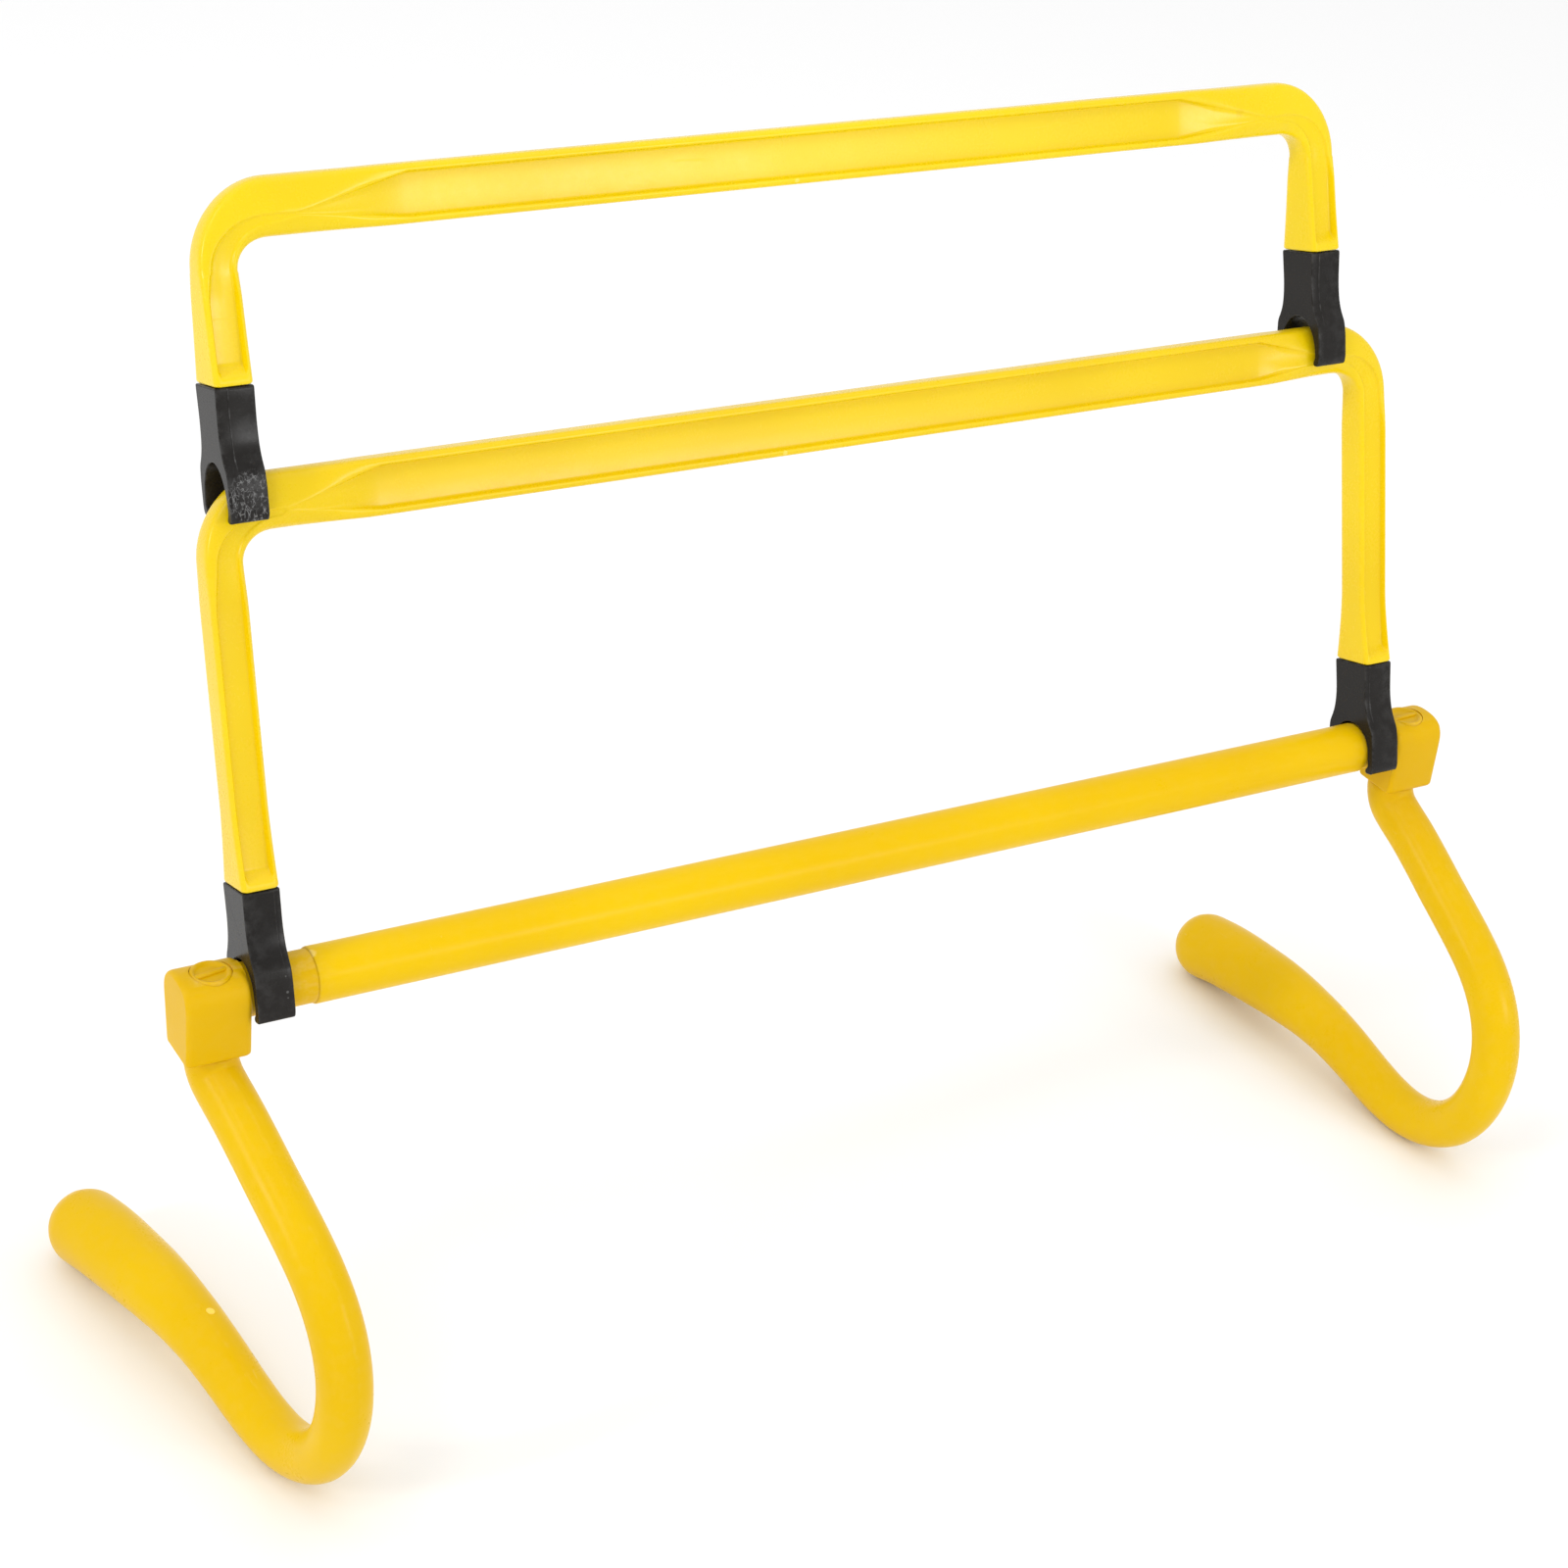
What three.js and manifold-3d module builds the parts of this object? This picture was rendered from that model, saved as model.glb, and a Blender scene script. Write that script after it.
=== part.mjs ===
// Free-standing three-height training hurdle.
//
// A round crossbar joins two corner blocks.  A bent, blow-moulded leg hangs from
// each block and can be swivelled in it.  A moulded U frame stands on the crossbar
// by two snap clips, and a second, narrower U frame stands on the bar of the first
// by two more clips.  Blocks and legs stand square on the ground; the two frames
// lean back by LEAN, held there by the grip of the lower clips on the crossbar.
//
// Millimetres, +Z up, +X along the crossbar, +Y to the rear.

import * as THREE from 'three';
import { mergeVertices } from 'three/addons/utils/BufferGeometryUtils.js';
import Module from 'manifold-3d';

const wasm = await Module();
wasm.setup();

// ---------------------------------------------------------------- dimensions

const GAP = 0.35;                 // clearance between touching pieces
const LEAN = 16.2;                // degrees, lean of the frames towards the rear

// crossbar
const BAR_R = 10;                 // outside radius of the tube
const BAR_WALL = 1.3;
const BLOCK_X = 256.4;            // swivel axis of each corner block from mid-span
const STEP_LEFT = 35;             // tube end from the left block centre
const STEP_RIGHT = 25;            // tube end from the right block centre
const COLLAR_R = 9.4;             // bare collar between block and tube end
const SPIGOT_LEN = 24;            // spigot reach into the tube

// corner block
const BLOCK_W = 23;               // along X
const BLOCK_OUT = 0.8;            // middle of the block outward from the swivel axis
const BLOCK_TOP = 10.3;           // crown above the crossbar axis
const BLOCK_BOTTOM = -20;         // underside below the crossbar axis
const BLOCK_OUTLINE = [           // rearward, upward from the crossbar axis
  [-10.9, BLOCK_BOTTOM], [8.6, BLOCK_BOTTOM], [11.9, 1.5], [11.3, 4.8], [9.2, 7.9], [6.2, 9.6],
  [2.4, BLOCK_TOP], [-2.4, BLOCK_TOP], [-6, 9.6], [-8.8, 7.9], [-10.4, 4.8], [-10.9, 1.5],
];

// leg
const LEG_TURN = { left: 10.2, right: 3.2 };   // degrees, swivel about the block axis
const NECK_R = 6.8;
const NECK_TOP = -1.5;            // top of the neck inside the block
const NECK_BORE = 4.95;
const LEG_WALL = 2.6;
const LEG_LINE = [                // centre line: rearward, downward
  [0, 20.4], [-0.45, 23.8], [-1.75, 27], [-4.1, 29.9], [-7.4, 32.1], [-17.8, 37.8],
  [-28, 44.3], [-38.1, 51.1], [-48.5, 57.7], [-58.7, 64.5], [-68.3, 72.2], [-76.4, 81.4],
  [-82.3, 92.1], [-85.4, 103.9], [-85.7, 116.1], [-83.3, 128.2], [-78.2, 139.3],
  [-70.2, 148.5], [-59.7, 154.7], [-47.8, 157.4], [-35.6, 156.8], [-23.6, 154.3],
  [-11.7, 151.1], [0.2, 148.4], [12.4, 146.7], [24.6, 146.1], [36.9, 146.3],
  [49.1, 147.2], [61.3, 148.4], [73.5, 150], [85.5, 152.5],
];
const LEG_RADIUS = [              // distance back from the foot end, radius
  [0, 14.7], [21, 14.35], [43, 13.5], [56, 12.7], [68, 11.75], [85, 10.8],
  [102, 10.25], [125, 9.9], [180, 9.7], [240, 9.5], [335, 9.3],
];

// retaining plug in the top of each block
const PLUG_R = 7.2;
const PLUG_TOP = 10.4;
const PLUG_SEAT = 7.2;
const PLUG_SHANK = 4.55;

// clips
const CLIP_W = 13.2;              // along X
// seat height above the bore axis, arm ends below it, bore radius, half depth of the mouth
const LOWER_CLIP = { top: 37, end: -8, bore: 10.4, mouth: 8.75 };
const UPPER_CLIP = { top: 39, end: -4.4, bore: 10.1, mouth: 8.95 };
const TENON = [3.3, 5.8, 11.5];   // half width, half depth, height of the clip tenon

// U frames
const CORNER_R = 19;              // centre-line radius of the frame corners
const MID_X = -0.8;               // middle frame, centre of its two posts
const MID_HALF = 237.7;
const MID_BAR = 163.1;            // middle bar axis above the crossbar axis
const TOP_X = -10;                // upper frame, centre of its two posts
const TOP_HALF = 221;
const TOP_BAR = 256.8;            // upper bar axis above the crossbar axis

// ---------------------------------------------------------------- materials

const gold = () => new THREE.MeshStandardMaterial({ color: 0xf7bf12, roughness: 0.36, metalness: 0 });
const lemon = () => new THREE.MeshStandardMaterial({ color: 0xf6d80f, roughness: 0.34, metalness: 0 });
const black = () => new THREE.MeshStandardMaterial({ color: 0x202022, roughness: 0.38, metalness: 0 });

// ---------------------------------------------------------------- helpers

// One closed, indexed skin: shared corners merged, slivers dropped, faces outward.
function closed(geometry) {
  let g = geometry.clone();
  for (const name of ['normal', 'uv']) if (g.getAttribute(name)) g.deleteAttribute(name);
  g = mergeVertices(g, 1e-4);
  const p = g.getAttribute('position');
  const src = g.getIndex().array;
  const index = [];
  const a = new THREE.Vector3();
  const b = new THREE.Vector3();
  const c = new THREE.Vector3();
  let volume = 0;
  for (let i = 0; i < src.length; i += 3) {
    const [i0, i1, i2] = [src[i], src[i + 1], src[i + 2]];
    if (i0 === i1 || i1 === i2 || i2 === i0) continue;
    index.push(i0, i1, i2);
    a.fromBufferAttribute(p, i0);
    b.fromBufferAttribute(p, i1);
    c.fromBufferAttribute(p, i2);
    volume += a.dot(b.cross(c)) / 6;
  }
  if (volume < 0) {
    for (let i = 0; i < index.length; i += 3) [index[i + 1], index[i + 2]] = [index[i + 2], index[i + 1]];
  }
  const out = new THREE.BufferGeometry();
  out.setAttribute('position', new THREE.BufferAttribute(new Float32Array(p.array), 3));
  out.setIndex(index);
  out.computeVertexNormals();
  return out;
}

function solid(geometry) {
  const g = closed(geometry);
  return new wasm.Manifold(new wasm.Mesh({
    numProp: 3,
    vertProperties: new Float32Array(g.getAttribute('position').array),
    triVerts: new Uint32Array(g.getIndex().array),
  }));
}

function skin(manifold) {
  const m = manifold.getMesh();
  const g = new THREE.BufferGeometry();
  g.setAttribute('position', new THREE.BufferAttribute(new Float32Array(m.vertProperties), 3));
  g.setIndex(Array.from(m.triVerts));
  g.computeVertexNormals();
  return g;
}

// Prism along X from an outline given as [y, z] pairs, softened at both ends.
function prismX(outline, width, soft, steps = 1) {
  const shape = new THREE.Shape(outline.map(([y, z]) => new THREE.Vector2(y, z)));
  const g = new THREE.ExtrudeGeometry(shape, {
    depth: width - 2 * soft, bevelEnabled: soft > 0, bevelThickness: soft,
    bevelSize: soft, bevelOffset: -soft, bevelSegments: steps, curveSegments: 8,
  });
  g.translate(0, 0, -width / 2 + soft);
  g.applyMatrix4(new THREE.Matrix4().makeBasis(
    new THREE.Vector3(0, 1, 0), new THREE.Vector3(0, 0, 1), new THREE.Vector3(1, 0, 0)));
  return g;
}

// Turned shape about Z from [radius, z] pairs.
function turned(profile, segments) {
  const g = new THREE.LatheGeometry(profile.map(([r, z]) => new THREE.Vector2(r, z)), segments);
  g.rotateX(Math.PI / 2);
  return g;
}

const cylinderX = (r, x0, x1, segments = 32) => {
  const g = new THREE.CylinderGeometry(r, r, Math.abs(x1 - x0), segments);
  g.rotateZ(Math.PI / 2);
  g.translate((x0 + x1) / 2, 0, 0);
  return g;
};

const cylinderZ = (r, z0, z1, segments = 32) => {
  const g = new THREE.CylinderGeometry(r, r, z1 - z0, segments);
  g.rotateX(Math.PI / 2);
  g.translate(0, 0, (z0 + z1) / 2);
  return g;
};

const box = (w, d, h, x, y, z) => {
  const g = new THREE.BoxGeometry(w, d, h);
  g.translate(x, y, z);
  return g;
};

// Skin through a row of rings with equal point counts, closed to a point or a
// centred fan at both ends.
function loft(rings, startPoint, endPoint) {
  const n = rings[0].length;
  const position = [];
  for (const ring of rings) for (const v of ring) position.push(v.x, v.y, v.z);
  const start = position.length / 3;
  position.push(startPoint.x, startPoint.y, startPoint.z);
  position.push(endPoint.x, endPoint.y, endPoint.z);
  const index = [];
  for (let r = 0; r + 1 < rings.length; r++) {
    for (let k = 0; k < n; k++) {
      const a = r * n + k;
      const b = r * n + (k + 1) % n;
      index.push(a, b, a + n, b, b + n, a + n);
    }
  }
  const last = (rings.length - 1) * n;
  for (let k = 0; k < n; k++) {
    index.push(start, (k + 1) % n, k);
    index.push(start + 1, last + k, last + (k + 1) % n);
  }
  const g = new THREE.BufferGeometry();
  g.setAttribute('position', new THREE.BufferAttribute(new Float32Array(position), 3));
  g.setIndex(index);
  return closed(g);
}

const lookup = (table, x) => {
  if (x <= table[0][0]) return table[0][1];
  for (let i = 1; i < table.length; i++) {
    if (x <= table[i][0]) {
      const t = (x - table[i - 1][0]) / (table[i][0] - table[i - 1][0]);
      return table[i - 1][1] + t * (table[i][1] - table[i - 1][1]);
    }
  }
  return table[table.length - 1][1];
};

// ---------------------------------------------------------------- crossbar tube

function crossbarGeometry() {
  const x0 = -BLOCK_X + STEP_LEFT;
  const x1 = BLOCK_X - STEP_RIGHT;
  const g = turned([
    [BAR_R - BAR_WALL, x0], [BAR_R - 0.3, x0], [BAR_R, x0 + 0.3], [BAR_R, x1 - 0.3],
    [BAR_R - 0.3, x1], [BAR_R - BAR_WALL, x1], [BAR_R - BAR_WALL, x0],
  ], 32);
  g.rotateY(Math.PI / 2);
  return closed(g);
}

// ---------------------------------------------------------------- corner block

// `side` is +1 for the block whose spigot points to +X, -1 for the other.
function blockGeometry(side, step) {
  const face = BLOCK_W / 2 - BLOCK_OUT;
  const end = step - GAP;
  const shell = prismX(BLOCK_OUTLINE, BLOCK_W, 1.5, 2);
  shell.translate(-side * BLOCK_OUT, 0, 0);
  let body = solid(shell);
  body = body.add(solid(cylinderX(COLLAR_R, side * (face - 3), side * end)));
  body = body.add(solid(cylinderX(BAR_R - BAR_WALL - GAP, side * (end - 2), side * (end + SPIGOT_LEN))));
  // socket for the neck, passage for the plug shank, seat for the plug head
  body = body.subtract(solid(cylinderZ(NECK_R + GAP, BLOCK_BOTTOM - 5, NECK_TOP + 1.4)));
  body = body.subtract(solid(cylinderZ(PLUG_SHANK + GAP, BLOCK_BOTTOM - 5, BLOCK_TOP + 5, 24)));
  body = body.subtract(solid(cylinderZ(PLUG_R + GAP, PLUG_SEAT - GAP, BLOCK_TOP + 5)));
  return skin(body);
}

// ---------------------------------------------------------------- retaining plug

function plugGeometry() {
  let body = solid(turned([
    [0, -11], [3.7, -11], [PLUG_SHANK, -9.4], [PLUG_SHANK, PLUG_SEAT], [PLUG_R, PLUG_SEAT],
    [PLUG_R, PLUG_TOP - 0.4], [PLUG_R - 0.4, PLUG_TOP], [PLUG_R - 1.5, PLUG_TOP],
    [PLUG_R - 2, PLUG_TOP - 1.3], [0, PLUG_TOP - 1.3],
  ], 32));
  // turning bar across the dished head
  body = body.add(solid(box(2 * PLUG_R - 2.6, 2.1, 1.7, 0, 0, PLUG_TOP - 0.95)));
  return skin(body);
}

// ---------------------------------------------------------------- leg

// Hollow moulding: closed round foot end, open neck.  Built in the plane x = 0 with
// the swivel axis on Z, rear at +Y.
function legGeometry() {
  const path = new THREE.CatmullRomCurve3(
    LEG_LINE.map(([back, down]) => new THREE.Vector3(0, back, -down)), false, 'centripetal');
  path.arcLengthDivisions = 800;
  const length = path.getLength();
  const sides = 20;
  const acrossX = new THREE.Vector3(1, 0, 0);
  const ring = (centre, tangent, r) => {
    const n = new THREE.Vector3().crossVectors(tangent, acrossX).normalize();
    const out = [];
    for (let k = 0; k < sides; k++) {
      const a = (k / sides) * 2 * Math.PI;
      out.push(centre.clone().addScaledVector(acrossX, r * Math.cos(a)).addScaledVector(n, r * Math.sin(a)));
    }
    return out;
  };
  const down = new THREE.Vector3(0, 0, -1);
  const at = (s) => {
    const u = Math.min(1, Math.max(0, s / length));
    return [path.getPointAt(u), path.getTangentAt(u)];
  };
  const radius = (s) => lookup(LEG_RADIUS, length - s);

  const outer = [];
  outer.push(ring(new THREE.Vector3(0, 0, NECK_TOP), down, NECK_R - 0.5));
  outer.push(ring(new THREE.Vector3(0, 0, NECK_TOP - 0.7), down, NECK_R));
  outer.push(ring(new THREE.Vector3(0, 0, BLOCK_BOTTOM - GAP), down, NECK_R));
  outer.push(ring(new THREE.Vector3(0, 0, BLOCK_BOTTOM - GAP), down, 9.0));
  outer.push(ring(new THREE.Vector3(0, 0, BLOCK_BOTTOM - GAP - 0.5), down, 9.4));
  const stations = [
    3, 6, 9, 12, 15.5, 21, 34, 52, 68, 80, 90, 100, 110, 120, 130, 140, 150, 160, 170, 180, 190,
    201, 214, 228, 243, 258, 273, 288, 303, 318];
  for (const s of stations) {
    const [c, t] = at(s);
    outer.push(ring(c, t, radius(s)));
  }
  const [footCentre, footTangent] = at(length);
  const r = LEG_RADIUS[0][1];
  for (const deg of [0, 24, 46, 66, 80]) {
    const a = THREE.MathUtils.degToRad(deg);
    outer.push(ring(footCentre.clone().addScaledVector(footTangent, r * Math.sin(a)), footTangent, r * Math.cos(a)));
  }
  const outerTip = footCentre.clone().addScaledVector(footTangent, r);

  const inner = [];
  inner.push(ring(new THREE.Vector3(0, 0, NECK_TOP), down, NECK_BORE));
  inner.push(ring(new THREE.Vector3(0, 0, BLOCK_BOTTOM), down, NECK_BORE));
  const innerStations = [
    4, 8, 12, 17, 28, 45, 62, 78, 90, 102, 114, 126, 138, 150, 162, 174, 188, 204, 221, 238, 255,
    272, 289, 306];
  for (const s of innerStations) {
    const [c, t] = at(s);
    inner.push(ring(c, t, Math.min(radius(s) - LEG_WALL, NECK_BORE + 0.16 * s)));
  }
  const ri = r - LEG_WALL;
  for (const deg of [0, 40, 70]) {
    const a = THREE.MathUtils.degToRad(deg);
    inner.push(ring(footCentre.clone().addScaledVector(footTangent, ri * Math.sin(a)), footTangent, ri * Math.cos(a)));
  }
  const innerTip = footCentre.clone().addScaledVector(footTangent, ri);

  return loft([...inner.reverse(), ...outer], innerTip, outerTip);
}

// ---------------------------------------------------------------- clip

// Bore axis along X through the origin, arms hanging down, tenon on top.
function clipGeometry({ top, end, bore: r, mouth }) {
  const side = [                  // outer edge, top to arm end
    [8.7, top], [9.2, top - 0.5], [9.4, top - 8], [10, top - 15], [11.1, 15.5],
    [12.2, 10], [12.6, 4], [12.6, end + 3], [12.1, end + 0.9], [11.3, end],
    [mouth + 0.8, end], [mouth, end + 0.8], [mouth + 0.2, end + 1.8], [r, end + 3.2],
  ];
  const bore = [];
  for (let k = 0; k <= 16; k++) {
    const a = (k / 16) * Math.PI;
    bore.push([r * Math.cos(a), r * Math.sin(a)]);
  }
  const outline = [
    ...side,
    ...bore,
    ...side.slice().reverse().map(([y, z]) => [-y, z]),
  ];
  let body = solid(prismX(outline, CLIP_W, 0.5, 1));
  const [hw, hd, hz] = TENON;
  body = body.add(solid(box(2 * hw, 2 * hd, hz + 2, 0, 0, top + hz / 2 - 1)));
  return skin(body);
}

// ---------------------------------------------------------------- U frames

// Section across the bar: `a` half height, `b` half depth, `f`/`g` front and rear
// channel depth, `e` flange width; `m` blends from channel (0) to round (1).
function section({ a, b, f, g, e, m }) {
  const c = Math.min(1.3, 0.25 * b);
  const s = 0.9;
  const k = a - e;
  const channel = [
    [a - c, -b], [k, -b], [k - s, -b + f], [-k + s, -b + f], [-k, -b], [-a + c, -b],
    [-a, -b + c], [-a, b - c],
    [-a + c, b], [-k, b], [-k + s, b - g], [k - s, b - g], [k, b], [a - c, b],
    [a, b - c], [a, -b + c],
  ];
  const degrees = [36, 56, 76, 104, 124, 144, 166, 194, 216, 236, 256, 284, 304, 324, 346, 374];
  return channel.map(([n, y], i) => {
    const t = THREE.MathUtils.degToRad(degrees[i]);
    return [n + m * (a * Math.cos(t) - n), y + m * (-b * Math.sin(t) - y)];
  });
}

function frameGeometry({ half, bar, foot, flare, roundTo, channelFrom }) {
  const post = { a: 6.6, b: 7, f: 2.6, g: 4.6, e: 2.6, m: 0 };
  const span = { a: 9.7, b: 7, f: 2.8, g: 7.4, e: 3.3, m: 0 };
  const seat = { a: 9.6, b: 9.1, f: 1, g: 1, e: 3.6, m: 0.95 };
  const mix = (p, q, t) => Object.fromEntries(Object.keys(p).map((key) => [key, p[key] + t * (q[key] - p[key])]));
  const rows = [];
  const up = (z, sec) => rows.push({ x: -half, z, tx: 0, tz: 1, ...sec });
  const depth = (z) => 7 + 3 * Math.pow(Math.max(0, 1 - (z - foot) / flare), 1.5);
  const blunt = (z) => ({ ...post, b: depth(z), f: 0, g: 0 });
  up(foot, blunt(foot));
  up(foot + 8, blunt(foot + 8));
  up(foot + 16.4, blunt(foot + 16.4));
  up(foot + 17.6, { ...post, b: depth(foot + 17.6) });
  const start = bar - CORNER_R;
  if (start - foot > 60) {
    up(foot + flare + 4, post);
    up(start - 26, post);
  }
  up(start - 5, mix(post, { ...post, f: 1.2, g: 1.2 }, start - foot > 60 ? 0.6 : 0.2));
  for (const deg of [0, 15, 30, 45, 60, 75, 90]) {
    const t = THREE.MathUtils.degToRad(deg);
    const w = deg / 90;
    rows.push({
      x: -half + CORNER_R * (1 - Math.cos(t)), z: start + CORNER_R * Math.sin(t),
      tx: Math.sin(t), tz: Math.cos(t),
      ...mix({ a: 6.6, b: 7, f: 1.2, g: 1.2, e: 2.8, m: 0.35 }, { ...seat, b: 8.8 }, w * w * (3 - 2 * w)),
    });
    rows[rows.length - 1].b = 7 + 1.8 * Math.pow(w, 3);
  }
  const along = (u, sec) => rows.push({ x: -half + u, z: bar, tx: 1, tz: 0, ...sec });
  along(CORNER_R + 4, seat);
  along(roundTo, seat);
  along(roundTo + (channelFrom - roundTo) * 0.5, mix(seat, span, 0.45));
  along(channelFrom, span);
  const mirrored = rows.slice().reverse().map((r) => ({ ...r, x: -r.x, tz: -r.tz }));
  const rings = [...rows, ...mirrored].map((r) => section(r).map(([n, y]) => new THREE.Vector3(
    r.x - n * r.tz, y, r.z + n * r.tx)));
  let body = solid(loft(rings, new THREE.Vector3(-half, 0, foot), new THREE.Vector3(half, 0, foot)));
  // mortise for the clip tenon in each post end
  const [hw, hd, hz] = TENON;
  for (const x of [-half, half]) {
    const deep = hz + 0.8;
    body = body.subtract(solid(box(2 * (hw + GAP), 2 * (hd + GAP), deep + 2, x, 0, foot + deep / 2 - 1)));
  }
  return skin(body);
}

// ---------------------------------------------------------------- assembly

const hurdle = new THREE.Group();
const stand = new THREE.Group();              // origin on the crossbar axis, mid-span
hurdle.add(stand);
const frames = new THREE.Group();             // everything that leans back
frames.rotation.x = -THREE.MathUtils.degToRad(LEAN);
stand.add(frames);

function piece(parent, name, geometry, material, position = [0, 0, 0]) {
  const mesh = new THREE.Mesh(geometry, material);
  mesh.name = name;
  mesh.position.set(...position);
  parent.add(mesh);
  return mesh;
}

piece(stand, 'crossbar_tube', crossbarGeometry(), gold());
piece(stand, 'left_corner_block', blockGeometry(1, STEP_LEFT), gold(), [-BLOCK_X, 0, 0]);
piece(stand, 'right_corner_block', blockGeometry(-1, STEP_RIGHT), gold(), [BLOCK_X, 0, 0]);

for (const [side, x] of [['left', -BLOCK_X], ['right', BLOCK_X]]) {
  const swivel = new THREE.Group();
  swivel.position.set(x, 0, 0);
  swivel.rotation.z = THREE.MathUtils.degToRad(LEG_TURN[side]);
  stand.add(swivel);
  piece(swivel, `${side}_leg`, legGeometry(), gold());
  piece(swivel, `${side}_leg_retaining_plug`, plugGeometry(), gold());
}

const middle = new THREE.Group();
middle.position.set(MID_X, 0, 0);
frames.add(middle);
piece(middle, 'middle_frame', frameGeometry({
  half: MID_HALF, bar: MID_BAR, foot: LOWER_CLIP.top + GAP, flare: 28, roundTo: 36, channelFrom: 58,
}), lemon());
piece(middle, 'middle_left_clip', clipGeometry(LOWER_CLIP), black(), [-MID_HALF, 0, 0]);
piece(middle, 'middle_right_clip', clipGeometry(LOWER_CLIP), black(), [MID_HALF, 0, 0]);

const upper = new THREE.Group();
upper.position.set(TOP_X, 0, MID_BAR);
frames.add(upper);
piece(upper, 'upper_frame', frameGeometry({
  half: TOP_HALF, bar: TOP_BAR - MID_BAR, foot: UPPER_CLIP.top + GAP, flare: 40, roundTo: 40, channelFrom: 66,
}), lemon());
piece(upper, 'upper_left_clip', clipGeometry(UPPER_CLIP), black(), [-TOP_HALF, 0, 0]);
piece(upper, 'upper_right_clip', clipGeometry(UPPER_CLIP), black(), [TOP_HALF, 0, 0]);

// Origin on the ground, under the middle of the overall box.
hurdle.updateMatrixWorld(true);
const extent = new THREE.Box3().setFromObject(hurdle, true);
stand.position.set(
  -(extent.min.x + extent.max.x) / 2, -(extent.min.y + extent.max.y) / 2, -extent.min.z);
hurdle.updateMatrixWorld(true);

export default hurdle;
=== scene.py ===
"""Looks of the free-standing three-height training hurdle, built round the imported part."""
import math

import bmesh
import bpy
from mathutils import Matrix, Vector
from mathutils import noise as mnoise


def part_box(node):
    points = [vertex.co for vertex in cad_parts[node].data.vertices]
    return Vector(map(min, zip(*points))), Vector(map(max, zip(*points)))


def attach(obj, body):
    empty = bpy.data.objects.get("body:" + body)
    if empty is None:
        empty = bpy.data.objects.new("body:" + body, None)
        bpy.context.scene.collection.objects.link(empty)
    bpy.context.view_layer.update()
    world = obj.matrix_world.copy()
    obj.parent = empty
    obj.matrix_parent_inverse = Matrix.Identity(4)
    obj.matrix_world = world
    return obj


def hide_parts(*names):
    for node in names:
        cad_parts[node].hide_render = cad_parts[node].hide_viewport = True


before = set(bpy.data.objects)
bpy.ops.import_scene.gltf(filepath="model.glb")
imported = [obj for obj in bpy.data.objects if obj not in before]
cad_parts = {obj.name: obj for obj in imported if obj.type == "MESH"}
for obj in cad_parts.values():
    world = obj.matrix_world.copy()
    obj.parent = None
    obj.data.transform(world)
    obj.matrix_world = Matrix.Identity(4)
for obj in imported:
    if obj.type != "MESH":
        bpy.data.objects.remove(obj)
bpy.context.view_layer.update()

# ------------------------------------------------------------------ dimensions, millimetres
GAP = 0.35
LEAN = math.radians(16.2)
BAR_R, BAR_WALL = 10.0, 1.3
BLOCK_X, BLOCK_W, BLOCK_OUT = 256.4, 23.0, 0.8
STEP = {"left": 35.0, "right": 25.0}
COLLAR_R, SPIGOT = 9.4, 24.0
BLOCK_TOP, BLOCK_BOTTOM = 10.3, -20.0
LEG_TURN = {"left": math.radians(10.2), "right": math.radians(3.2)}
NECK_R, NECK_TOP, NECK_BORE, LEG_WALL = 6.8, -1.5, 4.95, 2.6
LEG_LINE = [
    (0, 20.4), (-0.45, 23.8), (-1.75, 27), (-4.1, 29.9), (-7.4, 32.1), (-17.8, 37.8),
    (-28, 44.3), (-38.1, 51.1), (-48.5, 57.7), (-58.7, 64.5), (-68.3, 72.2), (-76.4, 81.4),
    (-82.3, 92.1), (-85.4, 103.9), (-85.7, 116.1), (-83.3, 128.2), (-78.2, 139.3),
    (-70.2, 148.5), (-59.7, 154.7), (-47.8, 157.4), (-35.6, 156.8), (-23.6, 154.3),
    (-11.7, 151.1), (0.2, 148.4), (12.4, 146.7), (24.6, 146.1), (36.9, 146.3),
    (49.1, 147.2), (61.3, 148.4), (73.5, 150), (85.5, 152.5)]
LEG_RADIUS = [
    (0, 14.7), (21, 14.35), (43, 13.5), (56, 12.7), (68, 11.75), (85, 10.8),
    (102, 10.25), (125, 9.9), (180, 9.7), (240, 9.5), (335, 9.3)]
PLUG_R, PLUG_TOP, PLUG_SEAT, PLUG_SHANK = 7.2, 10.1, 7.2, 4.55
CLIP_W = 13.2
LOWER = dict(top=35.6, end=-9.0, bore=10.4, mouth=8.75, rise=0.5)
UPPER = dict(top=39.0, end=-4.4, bore=10.1, mouth=8.95, rise=4.2)
TENON = (3.3, 3.2, 11.5)
CORNER_R = 19.0
MID_X, MID_HALF, MID_BAR = -0.8, 237.7, 163.1
TOP_X, TOP_HALF, TOP_BAR = -10.0, 221.0, 256.8

MM = 0.001
tube_lo, tube_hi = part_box("crossbar_tube")
STAND = Vector((tube_lo.x + (BLOCK_X - STEP["left"]) * MM, (tube_lo.y + tube_hi.y) / 2, (tube_lo.z + tube_hi.z) / 2))
SCALE = Matrix.Scale(MM, 4)
AT_STAND = Matrix.Translation(STAND) @ SCALE
AT_FRAMES = Matrix.Translation(STAND) @ Matrix.Rotation(-LEAN, 4, "X") @ SCALE


# ------------------------------------------------------------------ mesh helpers
def lerp(a, b, t):
    return a + (b - a) * t


def smooth(t):
    t = max(0.0, min(1.0, t))
    return t * t * (3 - 2 * t)


def table_at(rows, x):
    if x <= rows[0][0]:
        return rows[0][1]
    for (x0, y0), (x1, y1) in zip(rows, rows[1:]):
        if x <= x1:
            return lerp(y0, y1, (x - x0) / (x1 - x0))
    return rows[-1][1]


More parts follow.
